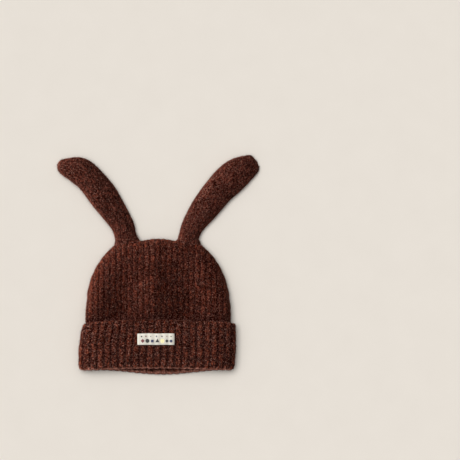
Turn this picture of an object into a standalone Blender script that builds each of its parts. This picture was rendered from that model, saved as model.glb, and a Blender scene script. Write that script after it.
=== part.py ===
"""A baby's knitted hat with two long ears, lying flat on its back.

Metres, +Z up. X runs across the hat, Y from the hem towards the ears, and Z up from the surface it lies on.
The origin is the middle of the turned-up cuff, on that surface. The crown is a hollow bag of ribbed knit,
closed over the top by a curved seam. The cuff is a band of wider ribs round its mouth, with a soft fold for a
hem. Each ear is a stuffed knitted tube, sewn end-on to the crown's seam, and a small woven label sits on the
cuff's front.
"""

import math
from collections import namedtuple

import bmesh
import bpy
from mathutils import Vector

# Knit: the wall is measured from the bottom of a rib's groove to the inside, and the relief stands on it.
KNIT_WALL = 0.0026
CUFF_RELIEF = 0.0012
CROWN_RELIEF = 0.0011
SEWN_GAP = 0.0003
CUFF_RIBS_A_SIDE = 23
CROWN_RIBS_A_SIDE = 27

# Cuff, lying flat
CUFF_WIDTH = 0.1805
CUFF_HEIGHT = 0.0562
HEM_OPENING = 0.010
HEM_LIP = 0.006
FRONT_HEM_RISE = 0.0023
BACK_HEM_DROP = 0.0047
FRONT_EDGE_BOW = 0.0018
EDGE_CORNER_DROP = 0.0024
CUFF_LEAN = 0.0022

# Crown, measured up from the cuff's top edge
SHOULDER_RISE = 0.1035
CROWN_HEIGHT = 0.0917
CROWN_BULGE = 0.0026
CROWN_THICKNESS = 0.025
SEAM_LEVEL = 0.008

# Ears
EAR_SPACING = 0.070
EAR_SEAT_WIDTH = 0.031
EAR_ROOT_THICKNESS = 0.013
EAR_THICKNESS = 0.0145
EAR_WIDTH = 0.0335
EAR_REACH = 0.0806
EAR_RISE = 0.090
LEFT_EAR_CREST = 0.0055
RIGHT_EAR_CREST = 0.0030

# Label
LABEL_WIDTH = 0.0433
LABEL_HEIGHT = 0.014
LABEL_THICKNESS = 0.0009
LABEL_ACROSS = -0.0018
LABEL_UP = 0.0072

# How full the flattened sections are: 2 is an ellipse, and more is closer to a box.
EDGE_FULLNESS = 3.5
SEAM_FULLNESS = 2.5
SHOULDER_FULLNESS = 2.5
EAR_FULLNESS = 2.2
CORNER_FULLNESS = 10
# What lies on the surface is flat where its section would come within this factor of it.
FLATTENING = 1.06
SEAM_FLATTENING = 1.2

# A rib has three columns: its groove, then the two edges of its crest.
COLUMNS_A_RIB = 3
EAR_SIDES = 20
EAR_ROWS_A_STATION = 2
WELD = 1e-6
# The seam starts at this share of the shoulders' height.
SEAM_START = 0.30
# The cuff leans to the right about this share of its height.
LEAN_PIVOT = 0.68
# Shares of the way up the dome: where it has left the cuff's grip and filled out, where its folds have their
# full height, where it swells for the ears' seats and fades its ribs, and where the seats' flat ends start.
FRONT_FILLS_BY = 0.45
BACK_SETTLES_BY = 0.22
FOLDS_FORM_BY = 0.12
SEATS_SWELL_FROM = 0.60
RIBS_FADE_FROM = 0.85
SEAT_END = 0.985
# Rows up the dome, outside from the seam down and inside from the cuff up
DOME_OUTSIDE = (1.0, SEAT_END, 0.94, 0.84, 0.70, 0.53, 0.36, 0.20, 0.08)
DOME_INSIDE = (0.20, 0.50, 0.84, 1.0)
# Shares of an ear's length: where it lies down on the surface, and where it has turned square to its line.
EAR_LIES_BY = 0.40
EAR_TURNS_BY = 0.25

# The cuff's half width up its height, as shares of both. It narrows at its edge and at its hem.
Flare = namedtuple("Flare", "up spread")
CUFF_FLARE = (
    Flare(0.00, 0.955),
    Flare(0.04, 0.983),
    Flare(0.12, 0.997),
    Flare(0.50, 1.000),
    Flare(0.96, 0.979),
    Flare(1.00, 0.952),
)

# The cuff's section from its top edge down its outside, round the hem's fold and up its inside. up is a
# share of its height, depth a share of the wall or, in the hem, of the folded thickness, and relief a share
# of the ribs' own.
CuffRow = namedtuple("CuffRow", "up depth relief")
CUFF_OUTSIDE = (
    CuffRow(1.000, 0.50, 0.0),
    CuffRow(0.990, 0.10, 0.4),
    CuffRow(0.960, 0.00, 1.0),
    CuffRow(0.500, 0.00, 1.0),
    CuffRow(0.120, 0.00, 1.0),
)
CUFF_HEM = (
    CuffRow(0.040, 0.06, 0.8),
    CuffRow(0.006, 0.28, 0.3),
    CuffRow(0.000, 0.52, 0.0),
    CuffRow(0.012, 0.82, 0.0),
    CuffRow(0.050, 1.00, 0.0),
)
CUFF_INSIDE = (
    CuffRow(0.500, 1.00, 0.0),
    CuffRow(0.960, 1.00, 0.0),
    CuffRow(0.990, 0.90, 0.0),
)

# Soft bows of the cuff's edges: their peaks and reaches are shares of its half width.
Bow = namedtuple("Bow", "peak reach")
FRONT_HEM = Bow(0.00, 1.10)
BACK_HEM = Bow(0.07, 0.85)
FRONT_EDGE = Bow(-0.12, 0.85)

# Soft vertical folds in the crown's front: place and width are shares of its half width, height of its
# thickness, and each fold fades out between its two shares of the way up the dome.
Fold = namedtuple("Fold", "at width height full_until gone_by")
CROWN_FOLDS = (
    Fold(-0.80, 0.16, 0.03, 0.50, 0.90),
    Fold(-0.50, 0.20, -0.11, 0.45, 0.90),
    Fold(-0.07, 0.12, 0.09, 0.70, 1.00),
    Fold(0.20, 0.13, -0.11, 0.50, 0.95),
    Fold(0.55, 0.20, 0.04, 0.40, 0.90),
)

# Stations up each ear above its seat: how far out and up as shares of the reach and rise, and the width and
# thickness as shares of the ear's. The left ear bends over to a round tip, and the right ends bluntly.
Station = namedtuple("Station", "out up width thick")
LEFT_EAR = (
    Station(0.004, 0.030, 0.835, 0.88),
    Station(0.022, 0.092, 0.735, 0.85),
    Station(0.072, 0.233, 0.775, 0.86),
    Station(0.207, 0.428, 0.905, 0.94),
    Station(0.402, 0.677, 0.955, 1.00),
    Station(0.568, 0.850, 0.965, 0.98),
    Station(0.706, 0.929, 0.915, 0.92),
    Station(0.873, 0.970, 0.625, 0.78),
    Station(0.965, 0.993, 0.370, 0.52),
    Station(1.000, 1.000, 0.000, 0.00),
)
RIGHT_EAR = (
    Station(0.000, 0.030, 0.800, 0.88),
    Station(0.006, 0.092, 0.695, 0.84),
    Station(0.066, 0.237, 0.780, 0.82),
    Station(0.207, 0.427, 0.925, 0.94),
    Station(0.418, 0.666, 1.025, 1.00),
    Station(0.602, 0.824, 1.050, 0.98),
    Station(0.733, 0.920, 0.980, 0.92),
    Station(0.866, 0.990, 0.790, 0.80),
    Station(0.945, 1.022, 0.560, 0.60),
    Station(0.974, 1.036, 0.000, 0.00),
)

# Worked out from the sizes above
CUFF_TOP = CUFF_HEIGHT / 2
CUFF_HALF = CUFF_WIDTH / 2 - CUFF_RELIEF
CUFF_HALF_THICK = HEM_OPENING / 2 + 2 * KNIT_WALL + SEWN_GAP
CUFF_MID = CUFF_HALF_THICK + CUFF_RELIEF
LAYER = KNIT_WALL + SEWN_GAP
BAND_HALF_THICK = CUFF_HALF_THICK - LAYER
CROWN_HALF = CUFF_HALF * CUFF_FLARE[-1].spread - LAYER + CROWN_RELIEF
SEAT_HALF = EAR_SEAT_WIDTH / 2

RingPoint = namedtuple("RingPoint", "across through out_x out_z")


def mix(a, b, share):
    return a + (b - a) * share


def ease(share):
    """0 before 0, 1 after 1, and smooth between."""
    share = min(1.0, max(0.0, share))
    return share * share * (3 - 2 * share)


def squarish(value, fullness):
    """The other coordinate on a quarter of a superellipse of unit size."""
    return max(0.0, 1 - abs(value) ** fullness) ** (1 / fullness)


def even_ring(count, first, half_width, half_thick, fullness):
    """Points at even steps round a flattened tube from the middle of its front, with their ways outward."""
    fine = 4000
    outline = []
    for k in range(fine + 1):
        turn = 2 * math.pi * k / fine
        across = math.copysign(abs(math.sin(turn)) ** (2 / fullness), math.sin(turn))
        through = math.copysign(abs(math.cos(turn)) ** (2 / fullness), math.cos(turn))
        outline.append((across, through))
    reached = [0.0]
    for (a0, t0), (a1, t1) in zip(outline, outline[1:]):
        reached.append(reached[-1] + math.hypot((a1 - a0) * half_width, (t1 - t0) * half_thick))
    points = []
    k = 0
    for i in range(count):
        goal = reached[-1] * ((first + i) / count % 1.0)
        k = 0 if goal < reached[k] else k
        while reached[k + 1] < goal:
            k += 1
        share = (goal - reached[k]) / (reached[k + 1] - reached[k])
        across = mix(outline[k][0], outline[k + 1][0], share)
        through = mix(outline[k][1], outline[k + 1][1], share)
        out = Vector(
            (
                math.copysign(abs(across) ** (fullness - 1), across) / half_width,
                math.copysign(abs(through) ** (fullness - 1), through) / half_thick,
            )
        ).normalized()
        points.append(RingPoint(across, through, out.x, out.y))
    return points


def height_off_middle(through, half, flattening=FLATTENING):
    """How far above the middle a point of a section lies. Its underside is flattened by the surface."""
    if through >= 0:
        return half * through
    return -min(half, -half * through * flattening)


def bent_grid(name, around, rows, place, material):
    """A closed piece: a grid of so many steps each way, bent by place(i, j), its meeting edges welded."""
    bm = bmesh.new()
    bmesh.ops.create_grid(bm, x_segments=around, y_segments=rows, size=0.5)
    for vertex in bm.verts:
        i = round((vertex.co.x + 0.5) * around) % around
        j = round((vertex.co.y + 0.5) * rows)
        vertex.co = place(i, j)
    bmesh.ops.remove_doubles(bm, verts=bm.verts, dist=WELD)
    bmesh.ops.recalc_face_normals(bm, faces=bm.faces)
    mesh = bpy.data.meshes.new(name)
    bm.to_mesh(mesh)
    bm.free()
    mesh.shade_smooth()
    mesh.materials.append(material)
    piece = bpy.data.objects.new(name, mesh)
    hat.objects.link(piece)
    piece.parent = hat_centre
    return piece


def knit_material(name, colour, roughness):
    material = bpy.data.materials.new(name)
    material.use_nodes = True
    shader = material.node_tree.nodes["Principled BSDF"]
    shader.inputs["Base Color"].default_value = (*colour, 1)
    shader.inputs["Roughness"].default_value = roughness
    shader.inputs["Metallic"].default_value = 0
    return material


def cuff_spread(up):
    """The cuff's half width at a share of its height, as a share of its greatest."""
    below = max((row for row in CUFF_FLARE if row.up <= up), key=lambda row: row.up, default=CUFF_FLARE[0])
    above = min((row for row in CUFF_FLARE if row.up >= up), key=lambda row: row.up, default=CUFF_FLARE[-1])
    if above.up <= below.up:
        return below.spread
    return mix(below.spread, above.spread, (up - below.up) / (above.up - below.up))


def bowed(across, bow):
    """From 0 at the ends of a bow's reach to 1 at its peak."""
    return max(0.0, 1 - ((across - bow.peak) / bow.reach) ** 2) ** 2


def edge_shift(across, through, up):
    """How far the cuff lies off straight: its front bows up at both edges, its back hem sags below, and the
    corners of its top edge are rounded down."""
    corner = -EDGE_CORNER_DROP * abs(across) ** CORNER_FULLNESS * up
    if through >= 0:
        hem = FRONT_HEM_RISE * bowed(across, FRONT_HEM)
        return mix(hem, FRONT_EDGE_BOW * bowed(across, FRONT_EDGE), up) + corner
    return -BACK_HEM_DROP * bowed(across, BACK_HEM) * (1 - up) + corner


def cuff_place(point, up, inset, relief):
    """A point on the cuff or a layer inside it: inset is its depth below the bottom of the ribs' grooves."""
    x = point.across * (CUFF_HALF * cuff_spread(up) - inset) + CUFF_LEAN * (up - LEAN_PIVOT)
    z = CUFF_MID + height_off_middle(point.through, CUFF_HALF_THICK - inset)
    y = CUFF_TOP - CUFF_HEIGHT * (1 - up) + edge_shift(point.across, point.through, up)
    return Vector((x + relief * point.out_x, y, z + relief * point.out_z))


def cuff_piece():
    """The ribbed band: outside from its top edge down, round the hem's fold, over its lip and up inside."""
    ring = even_ring(
        2 * CUFF_RIBS_A_SIDE * COLUMNS_A_RIB,
        -COLUMNS_A_RIB / 2,
        CUFF_HALF,
        CUFF_HALF_THICK,
        EDGE_FULLNESS,
    )
    fold = KNIT_WALL + LAYER
    lip = HEM_LIP / CUFF_HEIGHT
    rows = [(row.up, row.depth * KNIT_WALL, row.relief) for row in CUFF_OUTSIDE]
    rows += [(row.up, row.depth * fold, row.relief) for row in CUFF_HEM]
    rows += [(lip, fold, 0.0), (lip, KNIT_WALL, 0.0)]
    rows += [(row.up, row.depth * KNIT_WALL, row.relief) for row in CUFF_INSIDE]

    def place(i, j):
        up, depth, share = rows[j % len(rows)]
        groove = i % COLUMNS_A_RIB == 0
        return cuff_place(ring[i], up, depth, 0.0 if groove else CUFF_RELIEF * share)

    wool = knit_material("cuff_knit", (0.055, 0.018, 0.013), 0.95)
    return bent_grid("cuff", len(ring), len(rows), place, wool)


def shoulder_half_width(height, inset=0.0):
    """The crown's half width at a height above the cuff, as its shoulders close in."""
    return (CROWN_HALF - inset) * math.sqrt(
        max(0.0, 1 - (max(0.0, height) / (SHOULDER_RISE - inset)) ** SHOULDER_FULLNESS)
    )


def shoulder_height(x, inset=0.0):
    """The same curve read the other way: how high the crown reaches at a distance from its middle."""
    left = max(0.0, 1 - (x / (CROWN_HALF - inset)) ** 2)
    return (SHOULDER_RISE - inset) * left ** (1 / SHOULDER_FULLNESS)


def seat_ends():
    """The inner and outer ends of the line that an ear sits on, as (distance from the middle, height)."""
    inner = EAR_SPACING / 2 - SEAT_HALF
    outer = EAR_SPACING / 2 + SEAT_HALF
    return (inner, CROWN_HEIGHT), (outer, min(CROWN_HEIGHT, shoulder_height(outer)))


def crown_top(x, inset=0.0):
    """How high the crown's seam lies above the cuff: a bulge between the ears, their seats, the shoulders."""
    (inner, inner_height), (outer, outer_height) = seat_ends()
    distance = abs(x)
    if distance <= inner:
        return CROWN_HEIGHT + CROWN_BULGE * (1 - (distance / inner) ** 2) - inset
    if distance <= outer:
        return mix(inner_height, outer_height, (distance - inner) / (outer - inner)) - inset
    return min(shoulder_height(distance, inset), outer_height)


def seat_bulge(x):
    """From 0 at the ends of an ear's seat to 1 at its middle, round like the ear's own section."""
    return squarish(min(1.0, abs(abs(x) - EAR_SPACING / 2) / SEAT_HALF), EAR_FULLNESS)


def fold_height(across, rise):
    """The soft folds of the crown's front, up or down from its smooth shape."""
    total = 0.0
    for fold in CROWN_FOLDS:
        fade = 1 - ease((rise - fold.full_until) / (fold.gone_by - fold.full_until))
        total += fold.height * CROWN_THICKNESS * fade * math.exp(-(((across - fold.at) / fold.width) ** 2))
    return total * ease(rise / FOLDS_FORM_BY)


def crown_place(point, rise, inset, relief):
    """A point on the dome. rise is its share of the way from the cuff's edge to the seam in its column."""
    start = SEAM_START * SHOULDER_RISE
    ribbing = ease((1 - rise) / (1 - RIBS_FADE_FROM))
    x = point.across * (shoulder_half_width(start * rise, inset) - CROWN_RELIEF * ribbing)
    seam_x = point.across * shoulder_half_width(start, inset)
    bulge = seat_bulge(seam_x) if inset == 0 else 0.0
    climb = min(1.0, rise / SEAT_END) if bulge > 0 else rise
    y = CUFF_TOP + crown_top(seam_x, inset) * climb

    middle = mix(CUFF_MID, SEAM_LEVEL, ease(rise))
    closing = squarish(rise, SEAM_FULLNESS)
    swell = ease((rise - SEATS_SWELL_FROM) / (SEAT_END - SEATS_SWELL_FROM))
    seat = bulge * EAR_ROOT_THICKNESS / 2 * swell if rise < 1 else 0.0
    if point.through >= 0:
        half = mix(BAND_HALF_THICK, CROWN_THICKNESS - middle, ease(rise / FRONT_FILLS_BY)) - inset
        lift = point.through * (half + fold_height(point.across, rise))
        z = middle + max(lift * closing, seat)
    else:
        half = mix(BAND_HALF_THICK, middle - CROWN_RELIEF, ease(rise / BACK_SETTLES_BY)) - inset
        drop = -height_off_middle(point.through, half, SEAM_FLATTENING)
        z = middle - max(min(half, drop * closing * SEAM_FLATTENING), seat)
    stand = relief * ribbing
    return Vector((x + stand * point.out_x, y, z + stand * point.out_z))


def crown_piece():
    """The hollow bag: outside from the seam down into the cuff, round its lower edge, and inside back up."""
    ring = even_ring(
        2 * CROWN_RIBS_A_SIDE * COLUMNS_A_RIB,
        -COLUMNS_A_RIB / 2,
        CROWN_HALF,
        CROWN_THICKNESS / 2,
        EDGE_FULLNESS,
    )
    lower_edge = (HEM_LIP + SEWN_GAP) / CUFF_HEIGHT
    outer_band = (1.0, 0.96, 0.50, lower_edge)
    inner_band = (lower_edge, 1.0)
    rows = [("dome", rise, 0.0) for rise in DOME_OUTSIDE]
    rows += [("band", up, LAYER) for up in outer_band]
    rows += [("band", up, LAYER + KNIT_WALL) for up in inner_band]
    rows += [("dome", rise, KNIT_WALL) for rise in DOME_INSIDE]

    def place(i, j):
        kind, share, depth = rows[j]
        if kind == "band":
            return cuff_place(ring[i], share, depth, 0.0)
        crest = i % COLUMNS_A_RIB > 0 and depth == 0
        return crown_place(ring[i], share, depth, CROWN_RELIEF if crest else 0.0)

    wool = knit_material("crown_knit", (0.050, 0.017, 0.012), 0.95)
    return bent_grid("crown", len(ring), len(rows) - 1, place, wool)


def smooth_station(stations, t):
    """The stations' values at t, which counts stations, on one smooth curve through all of them."""
    k = min(int(t), len(stations) - 2)
    share = t - k
    before = stations[max(k - 1, 0)]
    here, there = stations[k], stations[k + 1]
    after = stations[min(k + 2, len(stations) - 1)]
    values = []
    for p, a, b, n in zip(before, here, there, after):
        values.append(
            0.5
            * (
                2 * a
                + (b - p) * share
                + (2 * p - 5 * a + 4 * b - n) * share**2
                + (3 * a - p - 3 * b + n) * share**3
            )
        )
    return Station(*values)


def ear_piece(name, stations, side, crest):
    """A stuffed tube on its seat. side is -1 at the left and 1 at the right. It leans left by crest."""
    (inner, inner_height), (outer, outer_height) = seat_ends()
    seat_line = Vector((side * (outer - inner), outer_height - inner_height, 0)).normalized()
    off_seat = Vector((-seat_line.y, seat_line.x, 0)) * side
    root = Vector(
        (side * EAR_SPACING / 2, CUFF_TOP + (inner_height + outer_height) / 2, 0)
    ) + off_seat * SEWN_GAP
    stations = (Station(0, 0, EAR_SEAT_WIDTH / EAR_WIDTH, EAR_ROOT_THICKNESS / EAR_THICKNESS), *stations)
    last = len(stations) - 1
    steps = [0.0, 0.0] + [k / EAR_ROWS_A_STATION for k in range(1, last * EAR_ROWS_A_STATION + 1)]

    def centre(t):
        station = smooth_station(stations, t)
        return Vector((side * station.out * EAR_REACH, station.up * EAR_RISE, 0))

    def place(i, j):
        t = steps[j]
        station = smooth_station(stations, t)
        half_thick = station.thick * EAR_THICKNESS / 2
        level = mix(SEAM_LEVEL, half_thick, ease(t / (EAR_LIES_BY * last)))
        at = centre(t)
        if j == 0 or j == len(steps) - 1:
            return at + Vector((0, 0, level))
        ahead = (centre(min(last, t + 0.2)) - centre(max(0.0, t - 0.2))).normalized()
        across = Vector((ahead.y, -ahead.x, 0)) * side
        across = seat_line.lerp(across, ease(t / (EAR_TURNS_BY * last))).normalized()
        turn = 2 * math.pi * i / EAR_SIDES
        c, s = math.cos(turn), math.sin(turn)
        width = math.copysign(abs(c) ** (2 / EAR_FULLNESS), c) * station.width * EAR_WIDTH / 2
        through = math.copysign(abs(s) ** (2 / EAR_FULLNESS), s)
        rise = ease(t / (EAR_LIES_BY * last)) * station.width
        width -= side * crest * rise * max(0.0, through) ** 2
        return at + across * width + Vector((0, 0, level + height_off_middle(through, half_thick)))

    wool = knit_material(name + "_knit", (0.058, 0.020, 0.014), 0.95)
    ear = bent_grid(name, EAR_SIDES, len(steps) - 1, place, wool)
    ear.location = root
    return ear


def label_piece():
    """A small woven label that lies on the crests of the cuff's front ribs and bends with them."""
    lengthwise, upwards = 12, 4

    def front_level(x):
        across = (LABEL_ACROSS + x) / CUFF_HALF
        return CUFF_MID + CUFF_HALF_THICK * squarish(across, EDGE_FULLNESS) + CUFF_RELIEF + SEWN_GAP

    bm = bmesh.new()
    bmesh.ops.create_grid(bm, x_segments=lengthwise, y_segments=upwards, size=0.5)
    for vertex in bm.verts:
        x = vertex.co.x * LABEL_WIDTH
        vertex.co = (x, vertex.co.y * LABEL_HEIGHT, front_level(x))
    bmesh.ops.recalc_face_normals(bm, faces=bm.faces)
    mesh = bpy.data.meshes.new("label")
    bm.to_mesh(mesh)
    bm.free()
    mesh.materials.append(knit_material("label_cloth", (0.72, 0.69, 0.62), 0.8))
    label = bpy.data.objects.new("label", mesh)
    thick = label.modifiers.new("thickness", "SOLIDIFY")
    thick.thickness = LABEL_THICKNESS
    thick.offset = 1.0
    rounding = label.modifiers.new("rounding", "BEVEL")
    rounding.width = LABEL_THICKNESS / 4
    rounding.segments = 1
    rounding.limit_method = "ANGLE"
    label.location = (LABEL_ACROSS, LABEL_UP, 0)
    hat.objects.link(label)
    label.parent = hat_centre
    return label


for old in list(bpy.data.objects):
    bpy.data.objects.remove(old)
hat = bpy.data.collections.new("baby_hat_with_ears")
bpy.context.scene.collection.children.link(hat)
hat_centre = bpy.data.objects.new("hat_centre", None)
hat.objects.link(hat_centre)

crown_piece()
cuff_piece()
ear_piece("ear_left", LEFT_EAR, -1, LEFT_EAR_CREST)
ear_piece("ear_right", RIGHT_EAR, 1, RIGHT_EAR_CREST)
label_piece()
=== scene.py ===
import math

import bpy
import numpy as np
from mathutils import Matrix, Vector


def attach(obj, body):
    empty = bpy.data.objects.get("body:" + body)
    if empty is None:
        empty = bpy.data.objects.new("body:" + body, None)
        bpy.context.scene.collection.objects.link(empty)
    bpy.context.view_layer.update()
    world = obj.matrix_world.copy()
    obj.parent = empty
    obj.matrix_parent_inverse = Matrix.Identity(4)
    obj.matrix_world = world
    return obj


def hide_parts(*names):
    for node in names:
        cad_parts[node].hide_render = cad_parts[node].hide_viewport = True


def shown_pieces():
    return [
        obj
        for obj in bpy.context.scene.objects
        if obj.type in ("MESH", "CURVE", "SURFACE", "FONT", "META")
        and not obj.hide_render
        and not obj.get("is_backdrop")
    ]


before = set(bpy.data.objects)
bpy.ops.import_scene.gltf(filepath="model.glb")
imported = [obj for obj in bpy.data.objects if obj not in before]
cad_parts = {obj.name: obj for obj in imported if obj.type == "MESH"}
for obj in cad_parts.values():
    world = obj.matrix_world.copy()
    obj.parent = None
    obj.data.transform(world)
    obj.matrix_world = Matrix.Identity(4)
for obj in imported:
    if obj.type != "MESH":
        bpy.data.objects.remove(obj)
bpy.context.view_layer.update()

# The turned-up cuff
# A band of wide ribs in brushed brown wool, knitted first and then folded up on itself, so that its fold
# makes the hem. It goes round the lower edge of the crown and grips it. Lying flat, its back sags a little
# below its front.
CUFF_WIDTH = 0.1805
CUFF_HEIGHT = 0.0562
CUFF_RELIEF = 0.0012
CUFF_STITCH_HEIGHT = 1.05 * CUFF_RELIEF
CUFF_UNEVENNESS = 0.00025
CUFF_RIBS_A_SIDE = 23
KNIT_WALL = 0.0026
SEWN_GAP = 0.0003
HEM_OPENING = 0.010
HEM_LIP = 0.006
HEM_ROUND = 0.062
HEM_TUCK = 0.72
HEM_RELIEF = 0.7
FRONT_HEM_RISE = 0.0023
BACK_HEM_DROP = 0.0047
FRONT_EDGE_BOW = 0.0018
EDGE_ROUNDING = 0.025
EDGE_CORNER_DROP = 0.0024
TOP_LEFT_TUCK = 0.0019
TOP_LEFT_TUCKED_FROM = 0.80
LOWER_RIGHT_TUCK = 0.0008
CUFF_LEAN = 0.0022
LEAN_PIVOT = 0.68
CUFF_COURSE = 0.0031
EDGE_FULLNESS = 3.5
CORNER_FULLNESS = 10
FLATTENING = 1.06
CUFF_FLARE_UP = (0.0, 0.04, 0.12, 0.50, 0.96, 1.0)
CUFF_FLARE = (0.955, 0.983, 0.997, 1.0, 0.979, 0.952)
# Rows of points over the top edge, down the outside and round the hem, and where on the hem's rows a
# highlight is painted
EDGE_ROWS = 5
OUTSIDE_ROWS = 86
HEM_ROWS = 19
FRONT_HIGHLIGHT_AT = 6
BACK_HIGHLIGHT_AT = 14
HIGHLIGHT_ROWS = 7.5
# A stitch's shade goes from 0 to this for the yarn's own tones, and is 1 where a highlight is painted on the
# hem's fold
YARN_SHADE_TOP = 0.8
# The lowest that a knitted surface comes to the floor
OFF_THE_FLOOR = 0.0002

CUFF_TOP = CUFF_HEIGHT / 2
CUFF_HALF = CUFF_WIDTH / 2 - CUFF_RELIEF
CUFF_HALF_THICK = HEM_OPENING / 2 + 2 * KNIT_WALL + SEWN_GAP
CUFF_MID = CUFF_HALF_THICK + CUFF_RELIEF
LAYER = KNIT_WALL + SEWN_GAP
BAND_HALF_THICK = CUFF_HALF_THICK - LAYER


def mix(a, b, share):
    return a + (b - a) * share


def ease(share):
    share = np.clip(share, 0, 1)
    return share * share * (3 - 2 * share)


def squarish(value, fullness):
    return np.maximum(0, 1 - np.abs(value) ** fullness) ** (1 / fullness)


class FlatTube:
    """A flattened tube's section: columns at even steps round it, from the middle of its front."""

    def __init__(self, columns, half_width, half_thick, fullness):
        turn = np.linspace(0, 2 * math.pi, 8001)
        across = np.sign(np.sin(turn)) * np.abs(np.sin(turn)) ** (2 / fullness)
        through = np.sign(np.cos(turn)) * np.abs(np.cos(turn)) ** (2 / fullness)
        steps = np.hypot(np.diff(across) * half_width, np.diff(through) * half_thick)
        reached = np.concatenate([[0], np.cumsum(steps)])
        goal = reached[-1] * np.arange(columns) / columns
        self.across = np.interp(goal, reached, across)
        self.through = np.interp(goal, reached, through)


def lying(through, half, flattening=FLATTENING):
    """The height of a section's points above its middle, its underside flattened by the floor."""
    return np.where(through >= 0, half * through, -np.minimum(half, -half * through * flattening))


def bowed(across, peak, reach):
    return np.maximum(0, 1 - ((across - peak) / reach) ** 2) ** 2


def on_cuff(tube, up, inset):
    """The cuff's surface, or a layer inset within it, at shares up its height."""
    across, through = tube.across, tube.through
    half_width = CUFF_HALF * np.interp(up, CUFF_FLARE_UP, CUFF_FLARE) - inset
    x = across * half_width + CUFF_LEAN * (up - LEAN_PIVOT)
    z = CUFF_MID + lying(through, CUFF_HALF_THICK - inset)
    corner = -EDGE_CORNER_DROP * np.abs(across) ** CORNER_FULLNESS * up
    front = mix(FRONT_HEM_RISE * bowed(across, 0, 1.10), FRONT_EDGE_BOW * bowed(across, -0.12, 0.85), up)
    back = -BACK_HEM_DROP * bowed(across, 0.07, 0.85) * (1 - up)
    y = CUFF_TOP - CUFF_HEIGHT * (1 - up) + np.where(through >= 0, front, back) + corner
    return np.stack(np.broadcast_arrays(x, y, z), axis=-1)


def uneven(a, b, seed):
    """Slow, smooth unevenness between about -1 and 1, of two coordinates in radians."""
    chance = np.random.default_rng(seed)
    total = 0
    for _ in range(7):
        turn = chance.uniform(0, 2 * math.pi)
        pace = chance.uniform(0.6, 1.6)
        start = chance.uniform(0, 2 * math.pi)
        total = total + np.sin(pace * (a * math.cos(turn) + b * math.sin(turn)) + start)
    return total / 3.5


def per_stitch(rib, course, side, seed):
    """A number from 0 to 1 that is the same all over one leg of a stitch."""
    value = np.sin(rib * 12.9898 + course * 78.233 + side * 37.719 + seed * 4.581) * 43758.5453
    return value - np.floor(value)


class Stitches:
    """A net of knitted stitches: how far each point stands out, how much painted shade it gets in its hollow,
    and its yarn's shade.

    rib counts ribs across and course counts stitches along them. A stitch's two legs lean by lean of a
    course, groove is the depth between ribs and loops the depth between stitches, as shares of the whole
    height, and a higher gap makes the grooves wider.
    """

    def __init__(self, rib, course, seed, lean=1.1, groove=0.93, loops=0.48, gap=0.9):
        rib = rib + 0.09 * uneven(rib * 0.9, course * 0.6, seed)
        middle = np.floor(rib + 0.5)
        place = rib - middle
        side = np.minimum(1, np.abs(place) * 2)
        turn = course - lean * side + 0.22 * uneven(rib * 1.9, course * 0.9, seed + 1)
        leg = np.floor(turn)
        loop = (0.5 - 0.5 * np.cos(2 * math.pi * turn)) ** 0.8
        self.shade = per_stitch(middle, leg, np.sign(place), seed)
        crest = 1 - groove + groove * np.maximum(0, 1 - ((side - 0.25) / 0.76) ** 2) ** gap
        sunk = 0.76 + 0.36 * self.shade
        self.height = crest * (1 - loops + loops * loop) * sunk
        # How much painted shade each point gets: most in the grooves between ribs and the gaps between
        # stitches
        self.painted_shade = 1 - np.clip(crest * (0.35 + 0.65 * loop) * sunk, 0, 1)
        self.yarn = np.stack(np.broadcast_arrays(turn, side, middle), axis=-1)


def outwards(net, like):
    """Unit directions out of a net that closes round its second axis, facing the way that like does."""
    out = np.cross(np.roll(net, -1, axis=1) - np.roll(net, 1, axis=1), np.gradient(net, axis=0))
    out /= np.maximum(1e-12, np.linalg.norm(out, axis=-1, keepdims=True))
    return out * (1 if np.sum(out * like) > 0 else -1)


def measured(net):
    """The length of each column of a net up to each of its points."""
    steps = np.linalg.norm(np.diff(net, axis=0), axis=-1)
    return np.concatenate([np.zeros((1, net.shape[1])), np.cumsum(steps, axis=0)])


def evenly(sizes, rows):
    """Places along a line of points at even steps of its length, as fractions of its index."""
    reached = np.concatenate([[0], np.cumsum(sizes)])
    return np.interp(np.linspace(0, reached[-1], rows), reached, np.arange(len(reached)))


def knitted(name, net, painted_shade, shade, yarn, finish, ends=()):
    """A mesh from a net of points that closes round its second axis, with its stitches' facts kept on it.

    ends names the rows that are closed by one face, for a net that shrinks to a tip there.
    """
    rows, columns = net.shape[:2]
    first = np.arange(rows - 1)[:, None] * columns
    here = np.arange(columns)[None, :]
    there = (here + 1) % columns
    above = first + columns
    faces = np.stack([first + here, first + there, above + there, above + here], axis=-1)
    faces = faces.reshape(-1, 4).tolist()
    for end in ends:
        ring = (np.arange(columns) + end % rows * columns).tolist()
        faces.append(ring[::-1] if end == 0 else ring)
    mesh = bpy.data.meshes.new(name)
    mesh.from_pydata(net.reshape(-1, 3).tolist(), [], faces)
    for label, values in (("painted_shade", painted_shade), ("shade", shade)):
        kept = mesh.attributes.new(label, "FLOAT", "POINT")
        kept.data.foreach_set("value", np.broadcast_to(values, (rows, columns)).astype(np.float32).ravel())
    kept = mesh.attributes.new("yarn", "FLOAT_VECTOR", "POINT")
    kept.data.foreach_set("vector", np.broadcast_to(yarn, (rows, columns, 3)).astype(np.float32).ravel())
    mesh.shade_smooth()
    mesh.materials.append(finish)
    piece = bpy.data.objects.new(name, mesh)
    bpy.context.collection.objects.link(piece)
    return piece


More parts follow.
